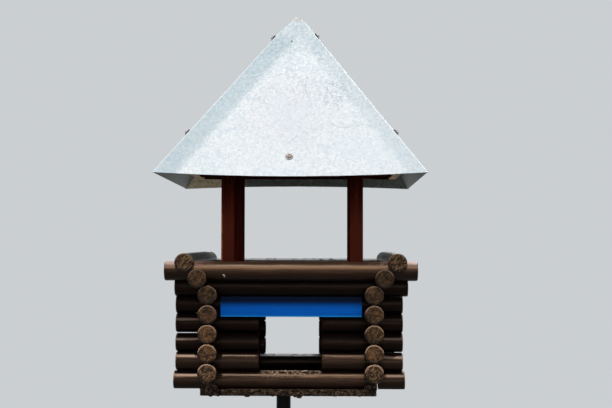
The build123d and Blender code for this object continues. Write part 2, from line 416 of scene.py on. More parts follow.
def painted_log_material(name, wear, band=DARK_BAND, rub_and_highlight_ends=None, sheen_dusty_from=None, weathered_sheen=False,
                         peeled_ends=False, perch=None, gloss=0.12):
    """Dark brown paint on a round log, worn paler in a band along its upper half that is also a painted
    highlight;
    painted shade darkens its underside, and on the plain logs the side above the band; wear is 0 to 1.

    Rub and highlight ends: how pale the left and right overhangs are in their band, worn paint and a painted
    highlight. Sheen dusty from: how far up the surface must look to be dusty, with a painted highlight.
    Weathered
    sheen: grey above, weathering and a painted reflection. Peeled ends: bare and pinkish. Perch: chewed
    between two places."""
    n = Nodes(name)
    fibres = n.noise((22, 420, 420), 5.0, 0.62)
    patches = n.noise((9, 28, 28))
    fine = n.noise(520.0, 3.0)
    along = n.split()[0]
    rise_low, rise_high, fall_low, fall_high = band
    n.base = n.ramp(fibres, (0.28, (17, 10, 9)), (0.55, (29, 18, 15)), (0.8, (44, 28, 22)))
    faded = n.ramp(fibres, (0.28, (48, 33, 25)), (0.55, (66, 46, 35)), (0.8, (90, 66, 51)))
    faded_here = wear
    if perch:
        faded_here = n.between(abs(along), 120 * MM, 210 * MM) * (-0.7 * wear) + wear
    n.coat(faded_here, faded)
    n.coat(n.between(patches, 0.52, 0.78), n.mix(wear, (34, 23, 18), (68, 46, 34)))
    n.tint(n.ramp(n.value("ObjectInfo", "Random"), (0.0, 0.8), (1.0, 1.2)))
    # A paler worn band along the upper half, which is also a painted highlight
    in_band = n.facing_up(rise_low, rise_high) * (1.0 - n.facing_up(fall_low, fall_high))
    rub_and_highlight = in_band * n.between(fibres + patches * 0.6, 0.95 - 0.75 * wear, 1.25 - 0.55 * wear)
    n.coat(rub_and_highlight * (0.35 + 0.65 * wear), (142, 110, 84))
    # Pale bands on the overhangs: worn paint and a painted highlight
    if rub_and_highlight_ends:
        rub_and_highlight_overhangs(n, along, 0.38 if wear else 0.24, rub_and_highlight_ends)
    # Painted shade on the upper side of the plain logs, under the logs and roof above them
    if not (sheen_dusty_from or weathered_sheen or peeled_ends):
        n.coat(n.facing_up(fall_low, fall_high) * 0.5, (14, 9, 8))
    # Painted shade: darker towards the underside
    n.tint(n.ramp(n.facing_up(-0.9, 0.15), (0.0, 0.35), (1.0, 1.0)))
    n.rough = n.ramp(patches, (0.3, 0.27), (0.7, 0.35))
    # Weathered grey above, which is also a painted reflection of the surroundings
    if weathered_sheen:
        grey = n.facing_up(0.0, 0.45) * n.between(n.noise(60.0, 5.0, 0.7), 0.25, 0.5)
        n.coat(grey, n.ramp(fine, (0.4, (50, 54, 44)), (0.6, (90, 94, 80))), 210)
    # A pale dusty line along the top, which is also a painted highlight
    if sheen_dusty_from:
        sheen_dust = n.facing_up(sheen_dusty_from, sheen_dusty_from + 0.1) * n.between(n.noise(60.0, 5.0, 0.7), 0.3, 0.5)
        n.coat(sheen_dust, (232, 232, 228), 205)
    if peeled_ends:
        peel_ends(n, abs(along), fine)
    if perch:
        chew(n, along, fine, *perch)
    n.shade((fibres + fine * 0.5, 0.3, 0.5), gloss, Specular_Tint=(255, 224, 198))


def log_end_material(name, sawn):
    """A rough sawn end: rings, saw marks, chips and a worn rim, paler on top with a painted highlight;
    painted shade along its lower border, and more painted shade on the upper logs.
    """
    n = Nodes(name, 0.8)
    ring_kind = {"wave_type": "RINGS", "rings_direction": "X"}
    rings = n.value("TexWave", "Fac", ring_kind, Vector=n.mapping(Scale=(0.001, 1, 1)), Scale=118.0,
                    Distortion=5.0, Detail=2.0, Detail_Scale=3.0)
    piece_random = n.value("ObjectInfo", "Random")
    shifted = n.mapping(Location=piece_random * 0.9)
    slanted = n.mapping(shifted, Rotation=(radians(-42), 0, 0))
    saw = n.noise((90, 380, 95), 2.0, 0.55, slanted)
    chips = n.noise(260.0, 4.0, 0.75, shifted)
    blotches = n.noise(75.0, 3.0, 0.65, shifted)
    _, y, z = n.split()
    from_axis = n.math("SQRT", y * y + z * z)
    n.base = n.ramp(rings, (0.1, (130, 88, 56)), (0.9, (182, 128, 80)))
    n.coat(n.between(blotches, 0.4, 0.58), n.mix(0.85, n.base, (58, 38, 26)))
    marks = 1.0 - n.between(saw, 0.42 + 0.04 * sawn, 0.48 + 0.04 * sawn)
    n.coat(marks * sawn, (30, 18, 13))
    n.coat((1.0 - n.between(chips, 0.38, 0.47)) * 0.5, (34, 21, 14))
    torn = n.between(chips, 0.53 - 0.02 * sawn, 0.62 - 0.03 * sawn)
    n.coat(torn * (0.35 + 0.1 * sawn), (242, 192, 138))
    n.coat(n.between(saw, 0.54, 0.6) * (0.7 * sawn), (232, 190, 146))
    # A paler rim on the upper part of each end: worn wood, and a painted highlight on the chamfer
    ragged = z + chips * (6 * MM)
    worn = n.between(from_axis, 17 * MM, 20 * MM) * n.between(ragged, 2 * MM, 14 * MM)
    # Painted shade along the lower border of each end
    lower = y * 0.5 + chips * (8 * MM) - z
    shaded_border = n.between(from_axis, 12 * MM, 19.5 * MM) * n.between(lower, 0.0, 13 * MM)
    # Painted shade: the ends darken higher up, under the roof
    height_shade = n.between(n.split(n.value("ObjectInfo", "Location"))[2], SHADE_LOW, SHADE_HIGH)
    n.tint(n.ramp(height_shade, (0.0, 0.6 - 0.12 * sawn), (1.0, 0.13 + 0.24 * sawn)))
    n.tint(n.ramp(n.math("FRACT", piece_random * 7.31), (0.0, 0.85), (1.0, 1.15)))
    # Painted shade on the lower border, then the paler rim with its painted highlight
    n.coat(shaded_border * 0.85, (24, 16, 12))
    n.coat(worn * 0.75, n.mix(height_shade, (212, 174, 144), (126, 102, 86)))
    n.shade((rings * 0.2 + saw + chips * 0.8, 1.0, 2), 0.2)


def from_place(n, x, z, place):
    """Offset and distance from a place: x from the cabin's axis, and height."""
    offset_x = x - (cabin_x + place[0])
    offset_z = z - place[1]
    return offset_x, offset_z, n.math("SQRT", offset_x * offset_x + offset_z * offset_z)


def front_marks(n, x, z, middle):
    """The front sheet's warmer and scuffed patches, bluish painted shade along the bends at the hips, a
    painted highlight along each hip's fold, and scratches.
    """
    warm = 1.0 - n.between(from_place(n, x, z, WARM_PATCH)[2], 30 * MM, 130 * MM)
    n.tint((255, 250, 251), warm)
    scuffed = 1.0 - n.between(from_place(n, x, z, SCUFFED_PATCH)[2], 22 * MM, 48 * MM)
    flecks = n.between(n.noise(170.0, 3.0), 0.52, 0.6)
    n.coat(scuffed * flecks * 0.7, (146, 158, 170))
    fall = HIP_RUN + ROOF_LEAN
    from_hip = x - cabin_x + (z * -fall + (ROOF_HALF - EAVE_SHIFT + EAVE_Z * fall))
    width = z * (-2 * HIP_RUN) + 2 * (ROOF_HALF + EAVE_Z * HIP_RUN)
    to_right = width - from_hip
    # Painted shade: bluish bands where the sheet bends near the hips
    for distance, reach, strength in ((from_hip, 52 * MM, 0.85), (to_right, 40 * MM, 0.45)):
        band = 1.0 - n.between(distance + middle * (26 * MM), reach, reach + 26 * MM)
        band *= n.between(z, TIP_Z - 90 * MM, TIP_Z - 30 * MM) * -0.75 + 1.0
        n.tint((210, 222, 227), band * strength)
    # A painted highlight along each hip's fold
    for distance in (from_hip, to_right):
        crease_highlight = 1.0 - n.between(distance, 0.5 * MM, 2.5 * MM)
        n.coat(crease_highlight * 0.4, (244, 246, 248))
    for *centre, radius, low, high in SCRATCHES:
        offset_x, offset_z, reach = from_place(n, x, z, centre)
        on_ring = 1.0 - n.between(abs(reach - radius), 0.3 * MM, 1.1 * MM)
        angle = n.math("ARCTAN2", offset_z, offset_x)
        n.coat(on_ring * (angle > low) * (angle < high) * 0.5, (118, 134, 148))


def galvanised_material(name, front=False, warm_inside=False):
    """Dulled galvanised sheet: fine mottling, rust at the tip, and an underside in darker greenish grey that
    is painted shade and a painted reflection.
    """
    n = Nodes(name)
    x, _, z = n.split()
    spangle = n.value("RGBToBW", Color=n.value("TexVoronoi", "Color", Vector=n.coordinates, Scale=215.0))
    fine = n.noise(280.0, 3.0, 0.7)
    weave = n.noise((210, 210, 55))
    middle = n.noise(34.0, 4.0, 0.65)
    broad = n.noise(7.0, 3.0)
    mottle = spangle * 0.3 + (fine * 0.35 + weave * 0.35)
    n.base = n.ramp(mottle, (0.34, (172, 184, 194)), (0.5, (197, 205, 211)), (0.66, (217, 221, 225)))
    calm = n.between(z, EAVE_Z + 100 * MM, EAVE_Z + 280 * MM) * -0.3 + 0.3
    n.coat(calm, (195, 202, 207))
    n.coat(n.between(broad, 0.45, 0.7) * 0.3, (190, 206, 217))
    n.coat(n.between(middle, 0.56, 0.7) * 0.45, (172, 188, 200))
    if front:
        front_marks(n, x, z, middle)
    upper = n.between(z + middle * (60 * MM), TIP_Z - 90 * MM, TIP_Z - 30 * MM)
    n.tint((226, 234, 237), upper * 0.55)
    tip = n.between(z + fine * (8 * MM), TIP_Z - 14 * MM, TIP_Z)
    n.coat(tip * 0.6, n.ramp(fine, (0.4, (176, 158, 148)), (0.6, (212, 206, 196))))
    # The underside: darker greenish grey, painted shade and a painted reflection of the surroundings under
    # the roof
    inside = 1.0 - n.facing_up(-0.3, -0.05)
    shade_pattern = n.noise(90.0, 5.0, 0.7)
    dull = n.ramp(shade_pattern, (0.35, (72, 78, 70)), (0.55, (104, 110, 100)), (0.75, (134, 138, 126)))
    if warm_inside:
        stain = 1.0 - n.between(x + middle * (60 * MM), cabin_x - 160 * MM, cabin_x - 90 * MM)
        blots = n.noise(130.0, 5.0, 0.75)
        stained = n.ramp(blots, (0.35, (186, 162, 122)), (0.55, (244, 226, 186)), (0.75, (252, 242, 218)))
        dull = n.mix(stain, dull, stained)
    n.rough = n.ramp(fine, (0.3, 0.52), (0.7, 0.66))
    n.coat(inside, dull, 190)
    n.shade((fine + middle * 1.5, 0.16, 0.5), Metallic=inside * -0.15 + 0.2)


def stained_post_material():
    """Dark red-brown stain on planed wood, with upright grain and wear; painted light makes the front posts
    paler lower down and the left one orange along its left edge.
    """
    n = Nodes("post_stain", 0.62)
    grain = n.noise((260, 260, 7), 5.0, 0.6)
    worn = n.noise((60, 60, 12), 4.0, 0.65)
    n.base = n.ramp(grain, (0.3, (46, 15, 10)), (0.55, (72, 25, 15)), (0.8, (98, 38, 21)))
    n.coat(n.between(worn, 0.6, 0.78), (124, 62, 34))
    x, y, z = n.split()
    # Painted light: the lower part of the front posts is paler, below the roof's shadow
    lower = (y < 0.0) * (1.0 - n.between(z, 1560 * MM, 1650 * MM))
    n.coat(lower * 0.5, (112, 52, 38))
    # Painted light: an orange lit edge along the left front post
    left_edge = node_box("front_left_post")[0].x
    edge = (1.0 - n.between(x, left_edge + 1.5 * MM, left_edge + 4.5 * MM)) * lower
    n.coat(edge * n.between(n.noise(60.0, 3.0, 0.55), 0.3, 0.6), (186, 104, 58))
    n.shade((n.noise((500, 500, 10), 3.0), 0.35, 0.6), 0.0)


def bare_wood_material():
    """Bare sawn softwood, weathered a little."""
    n = Nodes("bare_wood", 0.72)
    grain = n.noise((40, 40, 260))
    n.base = n.ramp(grain, (0.3, (158, 122, 80)), (0.6, (204, 166, 114)), (0.85, (222, 186, 136)))
    n.coat(n.between(n.noise(30.0), 0.52, 0.72), (128, 108, 84))
    n.shade((grain, 0.35, 0.7))


def blue_paint_material():
    """Bright blue paint on a flat board, with brush marks along it, thin spots, a painted highlight along its
    lower edge and painted shade along its top.
    """
    n = Nodes("blue_paint", 0.45)
    brush = n.noise((10, 300, 420))
    n.base = n.ramp(brush, (0.3, (0, 102, 212)), (0.7, (0, 122, 242)))
    n.coat(n.between(n.noise(60.0, 5.0, 0.7), 0.6, 0.75) * 0.4, (6, 76, 150))
    board_low, board_high = (corner.z for corner in node_box("front_blue_board"))
    z = n.split()[2]
    # A painted highlight along the lower edge
    lit_lower_edge = 1.0 - n.between(z, board_low + 1.5 * MM, board_low + 4 * MM)
    n.coat(lit_lower_edge, (30, 160, 244))
    # Painted shadow: darker towards the top, under the logs above
    shade_pattern = n.between(z + brush * (6 * MM), board_high - 24 * MM, board_high - 5 * MM)
    n.coat(shade_pattern * 0.97, (0, 8, 20))
    n.shade((brush, 0.35, 0.5), 0.05)


def weathered_board_material():
    """Painted particle board that weather has opened."""
    n = Nodes("weathered_board", 0.85)
    chips = n.value("TexVoronoi", "Distance", Vector=n.mapping(Scale=(0.45, 1, 1.7)), Scale=420.0)
    strands = n.noise((120, 120, 700), 4.0, 0.7)
    pits = n.noise(170.0, 4.0, 0.7)
    patches = n.noise(80.0, 4.0, 0.65)
    n.base = n.ramp(patches, (0.35, (38, 28, 22)), (0.55, (80, 63, 51)), (0.75, (128, 104, 82)))
    n.coat(n.between(strands, 0.58, 0.7), (150, 124, 96))
    n.coat(1.0 - n.between(strands, 0.38, 0.48), (20, 13, 9))
    n.coat(1.0 - n.between(pits, 0.4, 0.5), (12, 8, 6))
    n.coat(n.between(pits, 0.56, 0.64) * 0.5, (150, 126, 102))
    n.shade((chips + strands * 1.2, 1.0, 3), 0.1)


def pole_material():
    """Black paint on steel, a little dusty."""
    n = Nodes("pole_steel")
    specks = n.noise(90.0, 4.0, 0.7)
    n.base = n.ramp(specks, (0.4, (10, 10, 11)), (0.7, (20, 19, 18)))
    n.coat(n.between(n.noise((120, 120, 6), 3.0), 0.62, 0.8), (38, 33, 29))
    n.shade((specks, 0.15, 0.5), 0.06)


def small_part_materials():
    """Rusted screw heads, dull zinc washers, their black rubber, and dry crumbs and husks."""
    n = Nodes("rusty_steel")
    rust = n.between(n.noise(420.0), 0.44, 0.6)
    n.base = n.mix(rust, (126, 92, 78), (96, 44, 30))
    n.shade((rust, 0.3, 0.3), Metallic=rust * -0.6 + 0.65)
    n = Nodes("washer_rubber", 0.75)
    n.base = n.ramp(n.noise(800.0, 2.0, 0.55), (0.3, (20, 20, 21)), (0.7, (40, 38, 37)))
    n.shade()
    n = Nodes("zinc_washer")
    stain = n.noise(380.0)
    n.base = n.ramp(stain, (0.4, (222, 221, 220)), (0.6, (150, 146, 146)))
    n.shade((stain, 0.2, 0.3), Metallic=0.3)
    n = Nodes("dry_crumbs", 0.85)
    husks = n.noise(260.0, 3.0)
    n.base = n.ramp(husks, (0.35, (140, 106, 80)), (0.5, (214, 188, 158)), (0.65, (240, 226, 208)))
    n.shade((husks, 0.5, 0.5))


def build_materials():
    """Every material of the feeder."""
    painted_log_material("painted_log", 0.0, gloss=0.06)
    painted_log_material("painted_log_dark_ends", 0.0, rub_and_highlight_ends=(0.6, 0.1), gloss=0.06)
    painted_log_material("painted_log_pale_ends", 0.0, rub_and_highlight_ends=(1.0, 0.6), gloss=0.06)
    painted_log_material("painted_log_faded", 0.3, HIGH_BAND, (0.6, 0.45))
    painted_log_material("painted_log_dusty", 0.0, sheen_dusty_from=0.72)
    painted_log_material("painted_log_bleached", 0.2, sheen_dusty_from=0.88, weathered_sheen=True)
    painted_log_material("painted_log_rubbed", 0.9, LOW_BAND, peeled_ends=True)
    painted_log_material("painted_log_perch", 0.42, HIGH_BAND, (0.6, 0.3), perch=(-72 * MM, 70 * MM))
    painted_log_material("painted_end", 0.0, gloss=0.0)
    log_end_material("log_end", 0.3)
    log_end_material("log_end_sawn", 0.9)
    galvanised_material("front_sheet", front=True)
    galvanised_material("back_sheet", warm_inside=True)
    galvanised_material("side_sheet")
    stained_post_material()
    bare_wood_material()
    blue_paint_material()
    weathered_board_material()
    pole_material()
    small_part_materials()


# Logs

def log_span(bm, low, high, radius, seed, end_slots, thin_beyond=None):
    """One round log from low to high along X: sawn ends, a worn rim and a slightly uneven skin.

    The logs rest on each other, so they swell a little into the CAD's gaps, except beyond a given place."""
    straight = high - low - 2 * RIM_CHAMFER
    steps = max(2, round(straight / LOG_RING_STEP))
    stations = [low + RIM_CHAMFER * share for share in (0.0, 0.2, 0.55)]
    stations += [low + RIM_CHAMFER + straight * step / steps for step in range(steps + 1)]
    stations += [high - RIM_CHAMFER * share for share in (0.55, 0.2, 0.0)]
    rings = []
    for x in stations:
        to_end = min(x - low, high - x)
        beyond = 0.0 if thin_beyond is None else (x - thin_beyond) * (1 if thin_beyond > 0 else -1)
        thinned = 1.5 * MM * clamp(beyond / (8 * MM))
        ring = []
        for side in range(LOG_SIDES):
            angle = 2 * pi * side / LOG_SIDES
            direction = Vector((0, cos(angle), sin(angle)))
            around = (direction.y * 0.02, direction.z * 0.02)
            skin = 0.35 * MM * wobble((x * 0.35, *around), seed, 0.02)
            skin += 0.14 * MM * wobble((x * 0.15, *around), seed + 5, 0.004)
            worn = RIM_CHAMFER * (1 + 0.6 * wobble((to_end, *around), seed + 9, 0.008))
            depth = max(0.0, 1 - to_end / worn)
            reach = radius + (LOG_SWELL - thinned * max(0.0, direction.z)) + skin - worn * 0.75 * depth ** 2
            ring.append(bm.verts.new((x, direction.y * reach, direction.z * reach)))
        rings.append(ring)
    for index, (first, second) in enumerate(zip(rings, rings[1:])):
        slot = 0
        if index < 2:
            slot = end_slots[0]
        if index >= len(rings) - 3:
            slot = end_slots[1]
        join_rings(bm, first, second, slot)
    for ring, outward, end, slot in zip((rings[0], rings[-1]), (-1, 1), (low, high), end_slots):
        cap_rings(bm, ring, outward, end, seed, slot)


def cap_rings(bm, rim, outward, end, seed, slot):
    """The sawn face of a log, from the rim to the middle, with saw marks and a check."""
    crack = 2 * pi * (0.5 + 0.5 * wobble((0.3, 0.1, seed), seed, 1.0))
    previous = rim
    for step in range(1, LOG_CAP_RINGS):
        share = 1 - step / LOG_CAP_RINGS
        ring = []
        for vertex in rim:
            y, z = vertex.co.y * share, vertex.co.z * share
            from_crack = Vector((y, z)).angle_signed(Vector((cos(crack), sin(crack))))
            angle_gap = abs((from_crack + pi) % (2 * pi) - pi)
            check = max(0.0, 1 - angle_gap * share * 14) * min(1.0, share * 3)
            saw = 0.16 * sin((y * cos(seed) + z * sin(seed)) * 2 * pi / (2.6 * MM))
            relief = 0.5 * wobble((0, y, z), seed, 0.003) + saw - 1.3 * check
            ring.append(bm.verts.new((end + outward * relief * MM, y, z)))
        join_rings(bm, previous, ring, slot)
        previous = ring
    middle = bm.verts.new((end, 0, 0))
    for side in range(LOG_SIDES):
        face = bm.faces.new((previous[side], previous[(side + 1) % LOG_SIDES], middle))
        face.material_index = slot


def notch_shapes(crossings, radius, limits):
    """Cylinders across X that cut the saddles; crossings are (x, height) from the log's axis."""
    bm = bmesh.new()
    reach = radius + LOG_SWELL + NOTCH_CLEARANCE
    for x, height in crossings:
        place = Matrix.Translation((x, 0, height)) @ Matrix.Rotation(pi / 2, 4, "X")
        bmesh.ops.create_cone(bm, cap_ends=True, segments=96, radius1=reach, radius2=reach, depth=6 * radius,
                              matrix=place)
    for limit, outward in zip(limits or (), (-1, 1)):
        everything = bm.verts[:] + bm.edges[:] + bm.faces[:]
        bmesh.ops.bisect_plane(bm, geom=everything, plane_co=(limit, 0, 0), plane_no=(outward, 0, 0),
                               clear_outer=True)
        bmesh.ops.holes_fill(bm, edges=[edge for edge in bm.edges if edge.is_boundary])
    return bm


def carve(log, bm):
    """Cut a shape, made round the log's own axis, out of a log."""
    cutter = linked("cutter", mesh_from(bm, "cutter"))
    cutter.location = log.location
    cutter.rotation_euler = log.rotation_euler
    cut = log.modifiers.new("cut", "BOOLEAN")
    cut.operation = "DIFFERENCE"
    cut.solver = "EXACT"
    cut.object = cutter
    applied(log)
    bpy.data.objects.remove(cutter)


def build_log(node, spans, radius, location, turn, crossings, seed, limits=None, flat=None):
    """A detailed log in place of its node: the spans, with the saddles cut from below."""
    bm = bmesh.new()
    for index, (low, high) in enumerate(spans):
        outer = (index == 0, index == len(spans) - 1)
        end_slots = [BARE_END if bare else PAINTED_END for bare in outer]
        log_span(bm, low, high, radius, seed + 0.37 * index, end_slots, THIN_OVERHANGS.get(node))
    finish = "painted_log" + LOG_FINISHES.get(node, "")
    sawn_end = "log_end_sawn" if node in ROUGH_ENDS else "log_end"
    log = new_piece(f"{node}_wood", mesh_from(bm, node), "painted_log", finish, sawn_end, "painted_end",
                    location=location, turn=turn)
    carve(log, notch_shapes(crossings, radius, limits))
    if flat is not None:
        bm = bmesh.new()
        bmesh.ops.create_cube(bm, size=1.0, matrix=Matrix.Translation((0, 0, flat - location[2] - 0.5)))
        carve(log, bm)
    smooth_by_angle(log.data, 50)
    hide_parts(node)


def log_axis(node, across):
    """Radius, place and height of a log node's axis; across is 0 for X and 1 for Y."""
    low, high = node_box(node)
    radius = (high[across] - low[across]) / 2
    return radius, (high[across] + low[across]) / 2, high.z - radius


def crossings_below(course):
    """Place and height of the side logs or sills under a course's front and back logs."""
    if course < 7:
        return [log_axis(f"{hand}_log_{course + 1}", 0)[1:] for hand in ("left", "right")]
    radius, left_x, _ = log_axis("left_log_7", 0)
    sill_axis = node_box("side_sills")[1].z - radius
    return [(left_x, sill_axis), (2 * cabin_x - left_x, sill_axis)]


def build_walls():
    """All logs of the four walls."""
    seed = 1.0
    for course in range(1, 8):
        for wall in ("front", "back", "left", "right"):
            node = f"{wall}_log_{course}"
            low, high = node_box(node)
            limits = flat = None
            if wall in ("front", "back"):
                radius, y, z = log_axis(node, 1)
                place, turn = (cabin_x, y, z), 0.0
                edges = [low.x, high.x]
                if 4 <= course <= 6:
                    gap_low, gap_high = openings[f"{wall}_window"]
                    edges[1:1] = [gap_low[0] - WINDOW_MARGIN, gap_high[0] + WINDOW_MARGIN]
                edges = [x - cabin_x for x in edges]
                crossings = [(x - cabin_x, height - z) for x, height in crossings_below(course)]
                if course == 7:
                    limits = (floor_low.x - SILL_GAP - cabin_x, floor_high.x + SILL_GAP - cabin_x)
                    flat = low.z
            else:
                radius, x, z = log_axis(node, 0)
                place, turn = (x, 0, z), pi / 2
                edges = [low.y, high.y]
                crossed = [log_axis(f"{other}_log_{course}", 1) for other in ("front", "back")]
                crossings = [(y, height - z) for _, y, height in crossed]
            spans = list(zip(edges[::2], edges[1::2]))
            build_log(node, spans, radius, place, turn, crossings, seed, limits, flat)
            seed += 1.0


# Roof sheets, from the same plan as the CAD

def roof_half(z):
    """Half the width of the roof's outer faces at a height."""
    return ROOF_HALF - (z - EAVE_Z) * HIP_RUN


def roof_middle(z):
    """The roof's middle at a height; it leans a little to the right towards the tip."""
    return cabin_x + EAVE_SHIFT + ROOF_LEAN * (z - EAVE_Z)


def near_tip(z, reach):
    """0 further below the tip than reach, 1 at the tip."""
    return clamp((z - TIP_Z + reach) / reach)


def pinch(hand, z):
    """How far the sheets are pressed inwards at the tip; most on the left."""
    return 4.2 * MM * near_tip(z, 45 * MM) if hand < 0 else 1.0 * MM * near_tip(z, 14 * MM)


def cut_height(across, z):
    """A height near the tip, lowered towards the right by the slanted cut; across is -1 to 1."""
    return z - TIP_SLANT * (across + 1) / 2 * near_tip(z, 22 * MM)


def eave_height(side, share):
    """Height of a front or back eave; share runs from -1 at its left corner to 1."""
    corner = EAVE_Z if side < 0 else EAVE_Z - EAVE_FALL
    bow = FRONT_EAVE_SAG if side < 0 else -BACK_EAVE_RISE
    return corner - bow * (1 - share * share)


def sheet_point_depth(along, z, seed, to_hip, share):
    """How far a sheet is waved inwards, measured level; none near hips and rails."""
    room = 0.0
    if share > FLAT_SHARE:
        room = clamp((to_hip - HIP_MARGIN) / HIP_FADE) * sin(pi * min(1.0, share * 1.02)) ** 0.7
    wave = 0.5 + 0.5 * wobble((along, 0, z), seed, 0.11)
    small = 0.5 + 0.5 * wobble((along, 0.5, z), seed + 3, 0.035)
    return (0.1 + (1.7 * wave + 0.35 * small) * room) * MM * SHEET_LEAN


def grid_mesh(name, rows, flip):
    """A mesh from rows of points, joined into quads."""
    bm = bmesh.new()
    made = [[bm.verts.new(point) for point in row] for row in rows]
    for first, second in zip(made, made[1:]):
        for index in range(len(first) - 1):
            corners = [first[index], first[index + 1], second[index + 1], second[index]]
            bm.faces.new(reversed(corners) if flip else corners)
    mesh = bpy.data.meshes.new(name)
    bm.to_mesh(mesh)
    bm.free()
    return mesh


def finish_sheet(node, rows, flip, finish):
    """A sheet of real thickness in place of its node, thickened inwards."""
    sheet = new_piece(f"{node}_sheet", grid_mesh(node, rows, flip), "galvanised_sheet", finish)
    thicken = sheet.modifiers.new("thickness", "SOLIDIFY")
    thicken.thickness = SHEET_THICKNESS
    thicken.offset = -1.0
    thicken.use_even_offset = True
    applied(sheet)
    smooth_by_angle(sheet.data, 50)
    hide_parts(node)


def end_section(side, level, share, seed):
    """Points across a front or back sheet at a height, from one folded flange to the other."""
    points = []
    for hand in (-1, 1):
        z = cut_height(hand, level)
        middle, half = roof_middle(z), roof_half(z)
        wide = half + SHEET_FOLD - pinch(hand, z)
        flange = min(HIP_FLANGE, half - 0.3 * MM)
        strip = [(wide, half - (flange + (FOLD_RADIUS - flange) * step / 3)) for step in range(4)]
        for turn in range(1, 4):
            angle = pi / 2 * turn / 4
            strip.append((wide - FOLD_RADIUS * (1 - cos(angle)), half - FOLD_RADIUS * (1 - sin(angle))))
        places = [Vector((middle + hand * x, side * y, z)) for x, y in strip]
        points += places if hand < 0 else reversed(places)
        for step in range(SHEET_COLUMNS + 1 if hand < 0 else 0):
            across = -1 + 2 * step / SHEET_COLUMNS
            z = cut_height(across, level)
            middle, half = roof_middle(z), roof_half(z)
            x = across * (half + SHEET_FOLD - pinch(across, z) - FOLD_RADIUS)
            depth = sheet_point_depth(middle + x, z, seed, half + SHEET_FOLD - abs(x), share)
            points.append(Vector((middle + x, side * (half - depth), z)))
    return points


def build_end_sheet(node, side, seed):
    """The front or back sheet, whose eave bows and whose edges fold over the side sheets."""
    rows = []
    for row in range(SHEET_ROWS + 1):
        share = (row / SHEET_ROWS) ** 0.9
        rows.append(end_section(side, EAVE_Z + (TIP_Z - TOP_MARGIN - EAVE_Z) * share, share, seed))
    rows[0] = lowered(side, rows[0], seed)
    finish_sheet(node, rows, side > 0, "front_sheet" if side < 0 else "back_sheet")


def lowered(side, line, seed):
    """The eave's own points: each one slides down or up its face to the bowed edge."""
    edge = []
    for point in line:
        share = clamp((point.x - roof_middle(EAVE_Z)) / ROOF_HALF, -1.0)
        z = eave_height(side, share) + 0.3 * MM * wobble((point.x, 0, 0), seed, 0.02)
        drop = z - point.z
        grown = -drop * HIP_RUN - 0.25 * MM
        x = point.x
        if abs(share) > 0.985:
            x += (1 if share > 0 else -1) * grown
        edge.append(Vector((x, point.y + side * grown, z)))
    return edge


def build_side_sheet(node, hand, seed):
    """The left or right sheet, which lies under the flanges of the front and back sheets."""
    rows = []
    for row in range(SHEET_ROWS + 1):
        share = (row / SHEET_ROWS) ** 0.9
        line = []
        for step in range(SHEET_COLUMNS + 1):
            across = -1 + 2 * step / SHEET_COLUMNS
            low = EAVE_Z - EAVE_FALL * (across + 1) / 2
            z = cut_height(hand, low + (TIP_Z - TOP_MARGIN - low) * share)
            half = roof_half(z)
            y = across * (half - SHEET_FOLD)
            depth = sheet_point_depth(y, z, seed, half - abs(y), share)
            line.append(Vector((roof_middle(z) + hand * (half - pinch(hand, z) - depth), y, z)))
        rows.append(line)
    finish_sheet(node, rows, hand < 0, "side_sheet")


def build_tip():
    """The flap that is folded over the slanted tip, bent down on all sides."""
    profile = ((8.5, 0.9), (8.0, 0.1), (5.0, 0), (2.6, 0.3), (1.2, 1.2), (0.4, 2.5), (0.06, 4.4), (0, 7.0))
    rows = []
    for drop, inwards in profile:
        level = TIP_Z + SHEET_TOP - drop * MM
        row = []
        for step in range(33):
            angle = 2 * pi * step / 32
            square = 1 / max(abs(cos(angle)), abs(sin(angle)))
            reach = 1 + (square - 1) * 0.8 + 0.03 * wobble((cos(angle), sin(angle), level * 9), 4, 0.8)
            z = cut_height(clamp(reach * cos(angle), -1.0), level)
            half = roof_half(min(z, TIP_Z)) + (0.45 - inwards) * MM
            loose = 0.5 * abs(cos(angle)) * MM * min(1.0, drop / 4 + 0.3)
            x = (half + SHEET_FOLD - pinch(cos(angle), z) + loose) * reach * cos(angle)
            row.append((roof_middle(z) + x, half * reach * sin(angle), z))
        rows.append(row)
    bm = bmesh.new()
    bm.from_mesh(grid_mesh("tip_rows", rows, False))
    bmesh.ops.remove_doubles(bm, verts=bm.verts, dist=0.02 * MM)
    top = [edge for edge in bm.edges if edge.is_boundary and min(v.co.z for v in edge.verts) > TIP_Z - 6 * MM]
    bmesh.ops.holes_fill(bm, edges=top)
    new_piece("roof_tip_flap", mesh_from(bm, "roof_tip_flap", 60), "galvanised_sheet", "front_sheet")


# Screws and nails

def turned_mesh(name, profile, sides, degrees, hexagon_above=None):
    """A solid turned about Z from (radius, height, slot) points; the upper ones may be six-sided."""
    rings = []
    for radius, height, _ in profile:
        ring = []
        for side in range(sides):
            angle = 2 * pi * side / sides
            reach = radius
            if hexagon_above is not None and height > hexagon_above:
                reach = radius * cos(pi / 6) / cos((angle + pi / 6) % (pi / 3) - pi / 6)
            ring.append((reach * cos(angle), reach * sin(angle), height))
        rings.append(ring)
    bm = bmesh.new()
    loft(bm, rings, [slot for _, _, slot in profile])
    return mesh_from(bm, name, degrees)


